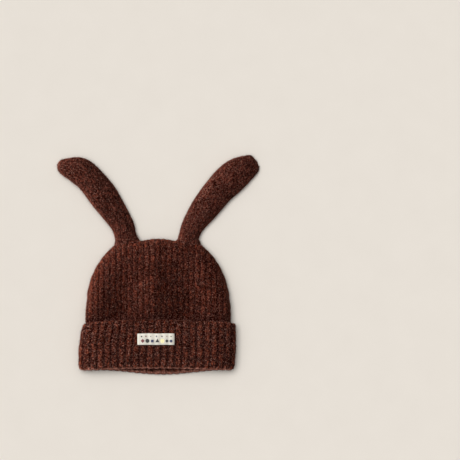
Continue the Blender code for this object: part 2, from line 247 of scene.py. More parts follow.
class Recipe:
    """A node material in the making. put() adds a node with its settings and its sockets' values or links."""

    def __init__(self, name):
        self.material = bpy.data.materials.new(name)
        self.material.use_nodes = True
        self.tree = self.material.node_tree
        self.shader = self.tree.nodes["Principled BSDF"]

    def put(self, kind, sockets=(), **settings):
        node = self.tree.nodes.new("ShaderNode" + kind)
        for setting, value in settings.items():
            setattr(node, setting, value)
        self.feed(node, dict(sockets))
        return node

    def feed(self, node, sockets):
        for socket, value in sockets.items():
            if isinstance(value, bpy.types.NodeSocket):
                self.tree.links.new(value, node.inputs[socket])
            else:
                node.inputs[socket].default_value = value

    def place(self):
        return self.put("TexCoord").outputs["Object"]

    def kept(self, name, kind="Fac"):
        return self.put("Attribute", attribute_name=name).outputs[kind]

    def drawn_out(self, vector, scales):
        return self.put("VectorMath", {0: vector, 1: scales}, operation="MULTIPLY").outputs["Vector"]

    def noise(self, vector, scale, **sockets):
        return self.put("TexNoise", {"Vector": vector, "Scale": scale, **sockets}).outputs["Fac"]

    def threads(self, vector, scale, direction, **sockets):
        sockets = {"Vector": vector, "Scale": scale, **sockets}
        return self.put("TexWave", sockets, bands_direction=direction).outputs["Fac"]

    def bump(self, height, strength, distance):
        sockets = {"Height": height, "Strength": strength, "Distance": distance}
        return self.put("Bump", sockets).outputs["Normal"]

    def steps(self, factor, *stops):
        node = self.put("ValToRGB", {"Fac": factor})
        ramp = node.color_ramp
        while len(ramp.elements) < len(stops):
            ramp.elements.new(0.5)
        for element, (place, colour) in zip(ramp.elements, stops):
            element.position = place
            element.color = (*colour, 1)
        return node.outputs["Color"]

    def maths(self, operation, a, b):
        return self.put("Math", {0: a, 1: b}, operation=operation).outputs["Value"]

    def blend(self, factor, a, b, way="MIX"):
        node = self.put("Mix", data_type="RGBA", blend_type=way)
        self.feed(node, {0: factor, 6: a, 7: b})
        return node.outputs[2]


def wool(name, painted_shade_colour, middle, light, speckle=1.0):
    """Brushed wool: strands along each leg of a stitch, painted shade between them, with heather and pale
    loose hair.

    The first colour is the painted shade in the hollows, middle the dyed yarn's colour and light the hair's,
    and speckle is how strong the heather is. Where a stitch's shade is above the yarn's own tones, a painted
    highlight of pale yarn and hair takes the dyed yarn's place.
    """
    recipe = Recipe(name)
    place = recipe.place()
    painted_shade = recipe.kept("painted_shade")
    shade = recipe.kept("shade")
    strands = recipe.noise(
        recipe.drawn_out(recipe.kept("yarn", "Vector"), (8.0, 2.4, 3.7)), 1.0, Detail=3.0, Roughness=0.6
    )
    heather = recipe.noise(recipe.drawn_out(place, (1.0, 0.55, 1.0)), 600.0, Detail=1.0, Roughness=0.5)
    patches = recipe.noise(place, 70.0, Detail=3.0)
    flecks = recipe.noise(place, 760.0, Detail=3.0, Roughness=0.7)
    fine = recipe.noise(place, 4200.0, Detail=2.0)
    black, white = (0, 0, 0), (1, 1, 1)

    dyed = recipe.steps(shade, (0.0, [0.60 * m for m in middle]), (YARN_SHADE_TOP, [1.45 * m for m in middle]))
    dark_heather = [1 - speckle * c for c in (0.90, 0.90, 0.90)]
    pale_heather = [1 + speckle * c for c in (1.50, 2.20, 2.70)]
    for drawing, low, high in (
        (patches, (0.3, (0.82, 0.80, 0.80)), (0.7, (1.2, 1.2, 1.2))),
        (strands, (0.34, (0.68, 0.64, 0.62)), (0.66, (1.35, 1.4, 1.4))),
        (heather, (0.38, dark_heather), (0.64, pale_heather)),
    ):
        dyed = recipe.blend(1.0, dyed, recipe.steps(drawing, low, high), "MULTIPLY")

    # A painted highlight: pale yarn and hair tones for the hem's fold
    highlight_dim = [1.8 * m + 0.28 * c for m, c in zip(middle, light)]
    highlight_bright = [2.8 * m + 1.15 * c for m, c in zip(middle, light)]
    painted_highlight = recipe.steps(heather, (0.36, highlight_dim), (0.64, highlight_bright))
    highlight_strands = recipe.steps(strands, (0.34, (0.7, 0.65, 0.62)), (0.66, (1.3, 1.3, 1.3)))
    painted_highlight = recipe.blend(1.0, painted_highlight, highlight_strands, "MULTIPLY")

    # Where the shade is above the yarn's own tones, the painted highlight takes the dyed yarn's place
    surface = recipe.blend(recipe.steps(shade, (YARN_SHADE_TOP + 0.02, black), (1.0, white)), dyed, painted_highlight)
    # Painted shade: the hollows between strands and stitches are darkened to a near-black brown
    surface = recipe.blend(recipe.steps(painted_shade, (0.18, black), (0.82, white)), surface, (*painted_shade_colour, 1))
    surface = recipe.blend(recipe.steps(flecks, (0.56, black), (0.74, white)), surface, (*light, 1))
    tufts = recipe.maths("MULTIPLY", strands, 0.4)
    for drawing, share in ((heather, 0.5), (fine, 0.2)):
        tufts = recipe.maths("ADD", tufts, recipe.maths("MULTIPLY", drawing, share))
    recipe.feed(recipe.shader, {"Base Color": surface, "Roughness": 0.92, "Specular IOR Level": 0.0})
    recipe.feed(recipe.shader, {"Sheen Weight": 0.22, "Sheen Roughness": 0.35})
    recipe.feed(recipe.shader, {"Sheen Tint": (0.9, 0.40, 0.30, 1)})
    recipe.feed(recipe.shader, {"Normal": recipe.bump(tufts, 0.8, 0.0008)})
    return recipe.material


CUFF_COLUMNS_A_RIB = 12
cuff_columns = 2 * CUFF_RIBS_A_SIDE * CUFF_COLUMNS_A_RIB
cuff_tube = FlatTube(cuff_columns, CUFF_HALF, CUFF_HALF_THICK, EDGE_FULLNESS)
cuff_rib = np.arange(cuff_columns) / CUFF_COLUMNS_A_RIB
fold = KNIT_WALL + LAYER
lip = HEM_LIP / CUFF_HEIGHT

rolled = np.linspace(0, math.pi / 2, EDGE_ROWS + 1)
outside_ups = np.linspace(1 - EDGE_ROUNDING, HEM_ROUND, OUTSIDE_ROWS)
hem_turn = np.linspace(0, math.pi, HEM_ROWS + 1)[1:]
cuff_ups = np.concatenate([
    1 - EDGE_ROUNDING * (1 - np.cos(rolled))[:-1],
    outside_ups,
    HEM_ROUND * (1 - HEM_TUCK * np.sin(hem_turn)),
    [lip, lip, 0.5, 1 - EDGE_ROUNDING],
    1 - EDGE_ROUNDING * (1 - np.sin(rolled))[1:],
])[:, None]
cuff_insets = np.concatenate([
    KNIT_WALL / 2 * (1 - np.sin(rolled))[:-1],
    0 * outside_ups,
    fold * (1 - np.cos(hem_turn)) / 2,
    [fold, KNIT_WALL, KNIT_WALL, KNIT_WALL],
    KNIT_WALL / 2 * (np.sin(rolled) + np.cos(rolled))[1:],
])[:, None]
cuff_relief = np.concatenate([
    np.linspace(0.1, 1, EDGE_ROWS),
    0 * outside_ups + 1,
    mix(1, HEM_RELIEF, np.sin(np.minimum(hem_turn, math.pi / 2))),
    [HEM_RELIEF, 0, 0, 0],
    0 * rolled[1:],
])[:, None]
cuff_net = on_cuff(cuff_tube, cuff_ups, cuff_insets)
near_top = ease((cuff_ups - TOP_LEFT_TUCKED_FROM) / (1 - TOP_LEFT_TUCKED_FROM))
cuff_net[..., 0] += TOP_LEFT_TUCK * np.maximum(0, -cuff_tube.across) ** 4 * near_top
cuff_net[..., 0] -= LOWER_RIGHT_TUCK * np.maximum(0, cuff_tube.across) ** 4 * (1 - cuff_ups)

hem_start = EDGE_ROWS + OUTSIDE_ROWS
out_of_tube = np.stack([cuff_tube.across, 0 * cuff_tube.across, cuff_tube.through], -1)
cuff_out = outwards(cuff_net[EDGE_ROWS:hem_start], out_of_tube)
cuff_out = np.concatenate([0 * cuff_net[:EDGE_ROWS], cuff_out, 0 * cuff_net[hem_start:]])
cuff_out = outwards(cuff_net, cuff_out)
cuff_stitches = Stitches(cuff_rib[None, :], -measured(cuff_net) / CUFF_COURSE, 3, gap=1.7)
# A highlight painted along the hem's fold, on the front and lower on the back, that makes it paler as if lit
highlight_at = hem_start + np.where(cuff_tube.through > 0, FRONT_HIGHLIGHT_AT, BACK_HIGHLIGHT_AT)
hem_highlight = np.exp(-(((np.arange(len(cuff_net))[:, None] - highlight_at) / HIGHLIGHT_ROWS) ** 2))
cuff_swell = CUFF_UNEVENNESS * uneven(cuff_net[..., 0] * 90, cuff_net[..., 1] * 120, 8)
cuff_rise = (CUFF_STITCH_HEIGHT * cuff_stitches.height + cuff_swell) * cuff_relief
cuff_net = cuff_net + cuff_out * cuff_rise[..., None]
cuff_net[..., 2] = np.maximum(OFF_THE_FLOOR, cuff_net[..., 2])

# The hem's painted highlight lifts the shade to 1 there and lessens the painted shade in its hollows
cuff = knitted(
    "cuff_knit",
    cuff_net,
    cuff_stitches.painted_shade * cuff_relief * (1 - 0.25 * hem_highlight),
    mix(YARN_SHADE_TOP * cuff_stitches.shade, 1, hem_highlight),
    cuff_stitches.yarn,
    wool("cuff_wool", (0.010, 0.0009, 0.0004), (0.0355, 0.0064, 0.0029), (0.31, 0.164, 0.131)),
)
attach(cuff, "root")
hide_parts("cuff")

# The crown
# A bag of finer ribs that run straight up and are cut off by one curved seam over the top, knitted in the
# same wool. Its lower edge goes down inside the cuff, whose grip pinches it, and it fills out just above.
CROWN_RIBS_A_SIDE = 27
CROWN_COLUMNS_A_RIB = 10
CROWN_RELIEF = 0.0011
CROWN_STITCH_HEIGHT = 1.15 * CROWN_RELIEF
CROWN_UNEVENNESS = 0.0005
CROWN_COURSE = 0.0029
INSIDE_RIB = 0.0004
SHOULDER_RISE = 0.1035
CROWN_HEIGHT = 0.0917
CROWN_BULGE = 0.0026
CROWN_THICKNESS = 0.025
SEAM_LEVEL = 0.008
SEAM_FULLNESS = 2.5
SHOULDER_FULLNESS = 2.5
SEAM_FLATTENING = 1.2
SEAM_START = 0.30
FRONT_FILLS_BY = 0.45
BACK_SETTLES_BY = 0.22
FOLDS_FORM_BY = 0.12
PINCH = 0.0024
PINCHED_UNTIL = 0.03
PINCH_GONE_BY = 0.37
# How dark the shade painted on the crown's front just above the cuff's edge is, and where up the crown it is
# gone
PAINTED_CUFF_SHADE = 0.50
CUFF_SHADE_GONE_BY = 0.17
SEATS_SWELL_FROM = 0.60
SEAT_END = 0.985
EAR_SPACING = 0.070
EAR_SEAT_WIDTH = 0.031
EAR_ROOT_THICKNESS = 0.013
EAR_FULLNESS = 2.2
SEAT_HALF = EAR_SEAT_WIDTH / 2
CROWN_HALF = CUFF_HALF * CUFF_FLARE[-1] - LAYER + CROWN_RELIEF
# How far from the seam the ribs start to rise and are whole, and where the knit's unevenness is whole
SEAM_TURN = 0.0025
RIBS_WHOLE_AT = 0.020
UNEVEN_FROM = 0.012
# Each fold: its place, its widths to the left and right, its height, and where up the crown it fades and ends
CROWN_FOLDS = (
    (-0.86, 0.10, 0.12, 0.10, 0.50, 0.90),
    (-0.50, 0.18, 0.30, -0.20, 0.45, 0.90),
    (-0.05, 0.36, 0.08, 0.12, 0.75, 1.00),
    (0.40, 0.24, 0.34, -0.24, 0.45, 0.95),
    (0.66, 0.20, 0.20, 0.06, 0.40, 0.90),
)


def shoulder_half_width(height, inset=0.0):
    return (CROWN_HALF - inset) * np.sqrt(
        np.maximum(0, 1 - (np.maximum(0, height) / (SHOULDER_RISE - inset)) ** SHOULDER_FULLNESS)
    )


def shoulder_height(x, inset=0.0):
    inward = np.maximum(0, 1 - (x / (CROWN_HALF - inset)) ** 2)
    return (SHOULDER_RISE - inset) * inward ** (1 / SHOULDER_FULLNESS)


SEAT_INNER = EAR_SPACING / 2 - SEAT_HALF
SEAT_OUTER = EAR_SPACING / 2 + SEAT_HALF
SEAT_OUTER_HEIGHT = min(CROWN_HEIGHT, float(shoulder_height(SEAT_OUTER)))


def crown_top(x, inset=0.0):
    """The seam's height above the cuff: a bulge between the ears, the ears' seats, then the shoulders."""
    away = np.abs(x)
    middle = CROWN_HEIGHT + CROWN_BULGE * (1 - (away / SEAT_INNER) ** 2) - inset
    seat = mix(CROWN_HEIGHT, SEAT_OUTER_HEIGHT, (away - SEAT_INNER) / (SEAT_OUTER - SEAT_INNER)) - inset
    shoulder = np.minimum(shoulder_height(away, inset), SEAT_OUTER_HEIGHT)
    return np.where(away <= SEAT_INNER, middle, np.where(away <= SEAT_OUTER, seat, shoulder))


def crown_fold(across, rise):
    total = 0
    for at, left, right, height, full_until, gone_by in CROWN_FOLDS:
        fade = 1 - ease((rise - full_until) / (gone_by - full_until))
        width = np.where(across < at, left, right)
        total = total + height * CROWN_THICKNESS * fade * np.exp(-(((across - at) / width) ** 2))
    return total * ease(rise / FOLDS_FORM_BY)


def on_crown(tube, rise, inset):
    """The dome's surface, or its inside, at shares of each column's way from the cuff to the seam."""
    across, through = tube.across, tube.through
    start = SEAM_START * SHOULDER_RISE
    outer = inset == 0
    x = across * (shoulder_half_width(start * rise, inset) - CROWN_RELIEF * ease((1 - rise) / 0.15))
    seam_x = across * shoulder_half_width(start, inset)
    off_seat = np.abs(np.abs(seam_x) - EAR_SPACING / 2) / SEAT_HALF
    seat = squarish(np.minimum(1, off_seat), EAR_FULLNESS) * outer
    climb = np.where(seat > 0, np.minimum(1, rise / SEAT_END), rise)
    y = CUFF_TOP + crown_top(seam_x, inset) * climb
    middle = mix(CUFF_MID, SEAM_LEVEL, ease(rise))
    closing = squarish(rise, SEAM_FULLNESS)
    swollen = ease((rise - SEATS_SWELL_FROM) / (SEAT_END - SEATS_SWELL_FROM)) * (rise < 1)
    swell = seat * EAR_ROOT_THICKNESS / 2 * swollen
    half = mix(BAND_HALF_THICK, CROWN_THICKNESS - middle, ease(rise / FRONT_FILLS_BY)) - inset
    pinch = PINCH * (1 - ease((rise - PINCHED_UNTIL) / (PINCH_GONE_BY - PINCHED_UNTIL)))
    front = middle + np.maximum(through * (half + crown_fold(across, rise) - pinch) * closing, swell)
    half = mix(BAND_HALF_THICK, middle - CROWN_RELIEF, ease(rise / BACK_SETTLES_BY)) - inset
    drop = -lying(through, half, SEAM_FLATTENING)
    back = middle - np.maximum(np.minimum(half, drop * closing * SEAM_FLATTENING), swell)
    return np.stack(np.broadcast_arrays(x, y, np.where(through >= 0, front, back)), axis=-1)


crown_columns = 2 * CROWN_RIBS_A_SIDE * CROWN_COLUMNS_A_RIB
crown_tube = FlatTube(crown_columns, CROWN_HALF, CROWN_THICKNESS / 2, EDGE_FULLNESS)
crown_rib = np.arange(crown_columns) / CROWN_COLUMNS_A_RIB
DOME_ROWS = 142
TRIAL_ROWS = 900
trial_rises = 1 - np.linspace(0, 1, TRIAL_ROWS) ** 2
trial = on_crown(crown_tube, trial_rises[:, None], 0)[:, CROWN_COLUMNS_A_RIB]
places = evenly(np.linalg.norm(np.diff(trial, axis=0), axis=-1), DOME_ROWS)
dome_rises = np.interp(places, np.arange(TRIAL_ROWS), trial_rises)[:, None]
dome = on_crown(crown_tube, dome_rises, 0)
dome_out = outwards(dome, np.stack([crown_tube.across, 0 * crown_tube.across, crown_tube.through], -1))
dome_stitches = Stitches(crown_rib[None, :], -measured(dome[::-1])[::-1] / CROWN_COURSE, 5, gap=1.1)
to_seam = measured(dome)
dome_relief = ease(to_seam / SEAM_TURN) * mix(0.5, 1, ease(to_seam / RIBS_WHOLE_AT))
# Painted shade on the crown's front just above the cuff, where the cuff's edge shades it, fading up the crown
painted_cuff_shade = PAINTED_CUFF_SHADE * (1 - ease(dome_rises / CUFF_SHADE_GONE_BY)) * (crown_tube.through > 0)
dome_swell = CROWN_UNEVENNESS * uneven(dome[..., 0] * 75, dome[..., 1] * 90, 9) * ease(to_seam / UNEVEN_FROM)
dome_rise = CROWN_STITCH_HEIGHT * dome_stitches.height * dome_relief + dome_swell
dome = dome + dome_out * dome_rise[..., None]
dome[..., 2] = np.maximum(OFF_THE_FLOOR, dome[..., 2])

lower_edge = (HEM_LIP + SEWN_GAP) / CUFF_HEIGHT
band = on_cuff(crown_tube, np.array([0.985, 0.90, 0.5, lower_edge])[:, None], LAYER)
inside_band = on_cuff(crown_tube, np.linspace(lower_edge, 1, 12)[:, None], LAYER + KNIT_WALL)
inside_ribs = np.cos(2 * math.pi * crown_rib)
inside_band[..., 2] += INSIDE_RIB * inside_ribs * np.sign(crown_tube.through) * crown_tube.through**2
inside_rises = np.array([0.15, 0.35, 0.55, 0.75, 0.88, 0.96, 1.0])[:, None]
inside_dome = on_crown(crown_tube, inside_rises, KNIT_WALL)
crown_net = np.concatenate([dome, band, inside_band, inside_dome])
plain = np.ones((len(crown_net) - len(dome), crown_columns))
# Painted shade on the crown: in its stitches' hollows, just above the cuff's edge, and over its inside,
# darker between the inside's ribs
crown = knitted(
    "crown_knit_bag",
    crown_net,
    np.concatenate([dome_stitches.painted_shade * dome_relief + painted_cuff_shade, plain * (0.4 - 0.16 * inside_ribs)]),
    np.concatenate([YARN_SHADE_TOP * dome_stitches.shade, 0.4 * plain]),
    np.concatenate([dome_stitches.yarn, plain[..., None] * (9.0, 0.5, 0.0)]),
    wool("crown_wool", (0.010, 0.0009, 0.0004), (0.0335, 0.0058, 0.0027), (0.25, 0.124, 0.096), 0.88),
)
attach(crown, "root")
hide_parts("crown")

# The ears
# Two knitted tubes, each lightly stuffed, sewn end-on to the crown's seam. The left one bends over to a
# round tip, the right one widens and ends bluntly, and both lie down on the surface, their crests off to the
# left of their middles.
EAR_THICKNESS = 0.0145
EAR_WIDTH = 0.0335
EAR_REACH = 0.0806
EAR_RISE = 0.090
EAR_LIES_BY = 0.40
EAR_TURNS_BY = 0.25
EAR_RIBS = 22
EAR_COLUMNS_A_RIB = 6
EAR_RELIEF = 0.0007
EAR_UNEVENNESS = 0.0006
EAR_COURSE = 0.0027
EAR_ROWS = 160
MEAN_STITCH_HEIGHT = 0.55
TIP_FADES_UNDER = 0.009
ROOT_FADES_UNDER = 0.002
CREASE_TILT = 0.02
CREASE_REACH = 0.7
# Stations up an ear: how far out and up, and its width and thickness there
LEFT_EAR = (
    (0.004, 0.030, 0.835, 0.88),
    (0.022, 0.092, 0.735, 0.85),
    (0.072, 0.233, 0.775, 0.86),
    (0.207, 0.428, 0.905, 0.94),
    (0.402, 0.677, 0.955, 1.00),
    (0.568, 0.850, 0.965, 0.98),
    (0.706, 0.929, 0.915, 0.92),
    (0.873, 0.970, 0.625, 0.78),
    (0.965, 0.993, 0.370, 0.52),
    (1.000, 1.000, 0.000, 0.00),
)
RIGHT_EAR = (
    (0.000, 0.030, 0.800, 0.88),
    (0.006, 0.092, 0.695, 0.84),
    (0.066, 0.237, 0.780, 0.82),
    (0.207, 0.427, 0.925, 0.94),
    (0.418, 0.666, 1.025, 1.00),
    (0.602, 0.824, 1.050, 0.98),
    (0.733, 0.920, 0.980, 0.92),
    (0.866, 0.990, 0.790, 0.80),
    (0.945, 1.022, 0.560, 0.60),
    (0.974, 1.036, 0.000, 0.00),
)
# Creases where an ear bends: where along it, how deep, how wide along it, and how far round from its middle
LEFT_CREASES = (
    (0.055, 0.0006, 0.012, -0.5),
    (0.170, 0.0005, 0.020, -0.9),
)
RIGHT_CREASES = (
    (0.045, 0.0007, 0.010, -0.2),
    (0.085, 0.0006, 0.010, 0.1),
    (0.130, 0.0004, 0.012, -0.1),
    (0.920, 0.0006, 0.008, 0.3),
)


def smooth_stations(stations, t):
    """The stations' values at places t, which count stations, on one smooth curve through all of them."""
    stations = np.array(stations)
    k = np.minimum(t.astype(int), len(stations) - 2)
    share = (t - k)[:, None]
    before, here = stations[np.maximum(k - 1, 0)], stations[k]
    there, after = stations[k + 1], stations[np.minimum(k + 2, len(stations) - 1)]
    return 0.5 * (
        2 * here
        + (there - before) * share
        + (2 * before - 5 * here + 4 * there - after) * share**2
        + (3 * here - before - 3 * there + after) * share**3
    )


def sewn_ear(name, stations, side, crest, creases, seed, finish):
    """A stuffed tube on its seat, -1 at the left side and 1 at the right, with its crest off to the left."""
    seat_line = np.array([side * (SEAT_OUTER - SEAT_INNER), SEAT_OUTER_HEIGHT - CROWN_HEIGHT])
    seat_line /= np.linalg.norm(seat_line)
    off_seat = np.array([-seat_line[1], seat_line[0]]) * side
    seat_middle = np.array([side * EAR_SPACING / 2, CUFF_TOP + (CROWN_HEIGHT + SEAT_OUTER_HEIGHT) / 2])
    root = seat_middle + off_seat * SEWN_GAP
    stations = ((0, 0, EAR_SEAT_WIDTH / EAR_WIDTH, EAR_ROOT_THICKNESS / EAR_THICKNESS), *stations)
    last = len(stations) - 1

    def middle_line(t):
        return smooth_stations(stations, t)[:, :2] * (side * EAR_REACH, EAR_RISE)

    trial_t = np.linspace(0, last, 15 * EAR_ROWS)
    grown = smooth_stations(stations, trial_t)
    steps = np.linalg.norm(np.diff(middle_line(trial_t), axis=0), axis=-1)
    steps = np.hypot(steps, 0.5 * EAR_WIDTH * np.diff(np.maximum(0, grown[:, 2])))
    t = np.interp(evenly(steps, EAR_ROWS), np.arange(len(trial_t)), trial_t)
    station = smooth_stations(stations, t)
    half_thick = np.maximum(0, station[:, 3]) * EAR_THICKNESS / 2
    half_width = np.maximum(0, station[:, 2]) * EAR_WIDTH / 2
    down = ease(t / (EAR_LIES_BY * last))
    level = mix(SEAM_LEVEL, half_thick, down)
    ahead = middle_line(np.minimum(last, t + 0.2)) - middle_line(np.maximum(0, t - 0.2))
    ahead /= np.linalg.norm(ahead, axis=1, keepdims=True)
    across = np.stack([ahead[:, 1], -ahead[:, 0]], axis=1) * side
    across = mix(seat_line, across, ease(t / (EAR_TURNS_BY * last))[:, None])
    across /= np.linalg.norm(across, axis=1, keepdims=True)

    tube = FlatTube(EAR_RIBS * EAR_COLUMNS_A_RIB, EAR_WIDTH / 2, EAR_THICKNESS / 2, EAR_FULLNESS)
    leant = side * crest * (down * station[:, 2])[:, None] * np.maximum(0, tube.through) ** 2
    out = half_width[:, None] * tube.across - leant
    ridged = np.where(tube.through > 0, np.abs(tube.through) ** (1 + 0.5 * down[:, None]), tube.through)
    high = level[:, None] + lying(ridged, half_thick[:, None])
    flat = root + middle_line(t)
    net = np.concatenate([flat[:, None, :] + across[:, None, :] * out[..., None], high[..., None]], axis=-1)

    outward = outwards(net, np.stack([tube.across * side, 0 * tube.across, tube.through], -1))
    rib = np.arange(EAR_RIBS * EAR_COLUMNS_A_RIB) / EAR_COLUMNS_A_RIB
    along = np.concatenate([[0], np.cumsum(np.linalg.norm(np.diff(flat, axis=0), axis=1))])
    stitches = Stitches(rib[None, :], -along[:, None] / EAR_COURSE, seed, groove=0.6, loops=0.6)
    fade = ease(half_width / TIP_FADES_UNDER)[:, None] * ease(along / ROOT_FADES_UNDER)[:, None]
    swell = EAR_UNEVENNESS * uneven(net[..., 0] * 95, net[..., 1] * 95, seed + 1)
    share = (along / along[-1])[:, None]
    for at, depth, wide, round_from in creases:
        lengthwise = np.exp(-(((share - at - CREASE_TILT * tube.across) / wide) ** 2))
        roundwise = np.exp(-(((tube.across - round_from) / CREASE_REACH) ** 2)) * np.maximum(0, tube.through)
        swell = swell - depth * lengthwise * roundwise
    net = net + outward * ((EAR_RELIEF * (stitches.height - MEAN_STITCH_HEIGHT) + swell) * fade)[..., None]
    net[..., 2] = np.maximum(OFF_THE_FLOOR, net[..., 2])
    facts = (stitches.painted_shade * fade, YARN_SHADE_TOP * stitches.shade, stitches.yarn)
    ear = knitted(name, net, *facts, finish, ends=(0, len(net) - 1))
    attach(ear, "root")
    return ear, net, outward


LEFT_EAR_CREST = 0.0055
RIGHT_EAR_CREST = 0.0030
ear_wool = wool("ear_wool", (0.010, 0.0009, 0.0004), (0.0385, 0.0080, 0.0045), (0.26, 0.132, 0.102), 0.8)
ear_left, left_net, left_out = sewn_ear(
    "ear_left_knit", LEFT_EAR, -1, LEFT_EAR_CREST, LEFT_CREASES, 21, ear_wool
)
ear_right, right_net, right_out = sewn_ear(
    "ear_right_knit", RIGHT_EAR, 1, RIGHT_EAR_CREST, RIGHT_CREASES, 31, ear_wool
)
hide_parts("ear_left")
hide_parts("ear_right")

# The nap
# Brushing pulls loose hairs out of the yarn. They lie nearly flat on the knit, curl a little, and blur its
# edge. Each is a sliver with a triangle at its root, another at its middle and a tip.
HAIR_LENGTH = 0.0030
HAIR_THICKNESS = 0.00008
HAIR_ROOTED = 0.0002
HAIR_POINTS = 7
CROWN_HAIRS = 18500
CUFF_HAIRS = 14500
EAR_HAIRS = 5600


def nap(name, net, out, count, seed, finish):
    """Short curled hairs, strewn evenly by area over the outer face of a net."""
    chance = np.random.default_rng(seed)
    side_a = np.roll(net, -1, axis=1)[:-1] - net[:-1]
    side_b = net[1:] - net[:-1]
    areas = np.linalg.norm(np.cross(side_a, side_b), axis=-1)
    spots = chance.choice(areas.size, size=count, p=areas.ravel() / areas.sum())
    row, column = np.unravel_index(spots, areas.shape)
    jitter = chance.random((count, 2, 1))
    root = net[row, column] + jitter[:, 0] * side_a[row, column] + jitter[:, 1] * side_b[row, column]
    normal = out[row, column]
    sideways = np.cross(normal, chance.normal(size=(count, 3)))
    sideways /= np.linalg.norm(sideways, axis=1, keepdims=True)
    turned = np.cross(normal, sideways)
    length = HAIR_LENGTH * chance.uniform(0.5, 1.4, (count, 1))
    lift = chance.uniform(0.08, 0.36, (count, 1))
    curl = chance.uniform(0.2, 0.9, (count, 1)) * chance.choice([-1, 1], (count, 1))
    line = [root - normal * HAIR_ROOTED]
    for far, high, bent in ((0.50, 0.90, 0.25), (1.0, 1.0, 1.0)):
        line.append(root + length * (sideways * far + turned * curl * bent + normal * lift * high))
    points = []
    for step, thick in enumerate((1.0, 0.8)):
        for corner in range(3):
            turn = 2 * math.pi * corner / 3
            push = normal * math.cos(turn) + turned * math.sin(turn)
            points.append(line[step] + push * HAIR_THICKNESS / 2 * thick)
    points.append(line[2])
    points = np.stack(points, axis=1)
    points[..., 2] = np.maximum(OFF_THE_FLOOR / 2, points[..., 2])
    pattern = [(0, 2, 1)]
    for corner in range(3):
        after = (corner + 1) % 3
        pattern.append((corner, after, 3 + after, 3 + corner))
        pattern.append((3 + corner, 3 + after, 6))
    faces = []
    for start in range(0, HAIR_POINTS * count, HAIR_POINTS):
        faces.extend([tuple(start + k for k in face) for face in pattern])
    mesh = bpy.data.meshes.new(name)
    mesh.from_pydata(points.reshape(-1, 3).tolist(), [], faces)
    shade = np.repeat(chance.random(count), HAIR_POINTS).astype(np.float32)
    kept = mesh.attributes.new("shade", "FLOAT", "POINT")
    kept.data.foreach_set("value", shade)
    # Each hair has a cell of its own in the UV map
    cells = math.ceil(math.sqrt(count))
    corners = np.zeros(len(mesh.loops), dtype=np.int32)
    mesh.loops.foreach_get("vertex_index", corners)
    hair, point = np.divmod(corners, HAIR_POINTS)
    cell = np.stack([hair % cells, hair // cells], axis=1) / cells
    inside = np.stack([0.2 + 0.6 * (point // 3) / 2, 0.2 + 0.6 * (point % 3) / 2], axis=1) / cells
    mesh.uv_layers.new(name="OFBake").data.foreach_set("uv", (cell + inside).astype(np.float32).ravel())
    mesh.shade_smooth()
    mesh.materials.append(finish)
    hairs = bpy.data.objects.new(name, mesh)
    bpy.context.collection.objects.link(hairs)
    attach(hairs, "root")
    return hairs


hair = Recipe("loose_hair")
hair_colour = hair.steps(
    hair.kept("shade"),
    (0.0, (0.030, 0.006, 0.003)),
    (0.6, (0.070, 0.020, 0.013)),
    (1.0, (0.220, 0.090, 0.066)),
)
hair.feed(hair.shader, {"Base Color": hair_colour, "Roughness": 0.8, "Specular IOR Level": 0.05})
hair.feed(hair.shader, {"Sheen Weight": 0.1, "Sheen Tint": (0.8, 0.55, 0.45, 1)})

nap("crown_nap", dome, dome_out, CROWN_HAIRS, 41, hair.material)
napped = slice(EDGE_ROWS - 2, hem_start + HEM_ROWS + 1)
nap("cuff_nap", cuff_net[napped], cuff_out[napped], CUFF_HAIRS, 42, hair.material)
nap("ear_left_nap", left_net, left_out, EAR_HAIRS, 43, hair.material)
nap("ear_right_nap", right_net, right_out, EAR_HAIRS, 44, hair.material)

# The label
# A short piece of cream woven tape, turned in at its ends and sewn flat on the cuff's front ribs. Its small
# coloured motifs are woven in.
LABEL_WIDTH = 0.0423
LABEL_HEIGHT = 0.0130
TAPE_THICKNESS = 0.000837
TAPE_EDGE_DROP = 0.00045
TAPE_RIB = 0.00014
TAPE_RIB_SPACING = 0.0079
TAPE_PUCKER = 0.0001
TAPE_WANDER = 0.00022
TURNED_IN_AT = 0.472
MOTIF_SEAT = 0.00012
LABEL_ACROSS = -0.0023
LABEL_UP = 0.0080
# Each motif: its colour, its place across and up, its size, how many sides it has and its turn in degrees
MOTIFS = (
    ("black", -0.0165, 0.0030, 0.0011, 4, 45),
    ("maroon", -0.0115, 0.0033, 0.0008, 20, 0),
    ("black", -0.0060, 0.0030, 0.0009, 3, 90),
    ("navy", 0.0005, 0.0032, 0.0008, 20, 0),
    ("black", 0.0068, 0.0031, 0.0010, 4, 0),
    ("maroon", 0.0125, 0.0032, 0.0009, 3, -90),
    ("black", 0.0172, 0.0030, 0.0007, 20, 0),
    ("maroon", -0.0152, -0.0020, 0.0024, 4, 0),
    ("black", -0.0098, -0.0019, 0.0023, 20, 0),
    ("navy", -0.0042, -0.0022, 0.0022, 4, 45),
    ("black", 0.0016, -0.0022, 0.0027, 3, 90),
    ("yellow", 0.0073, -0.0021, 0.0024, 20, 0),
    ("black", 0.0124, -0.0021, 0.0020, 4, 0),
    ("navy", 0.0172, -0.0022, 0.0017, 20, 0),
)


def on_ribs(x):
    """The height of the cuff's front crests at a distance from the hat's middle."""
    return CUFF_MID + CUFF_HALF_THICK * squarish(x / CUFF_HALF, EDGE_FULLNESS) + CUFF_RELIEF + SEWN_GAP


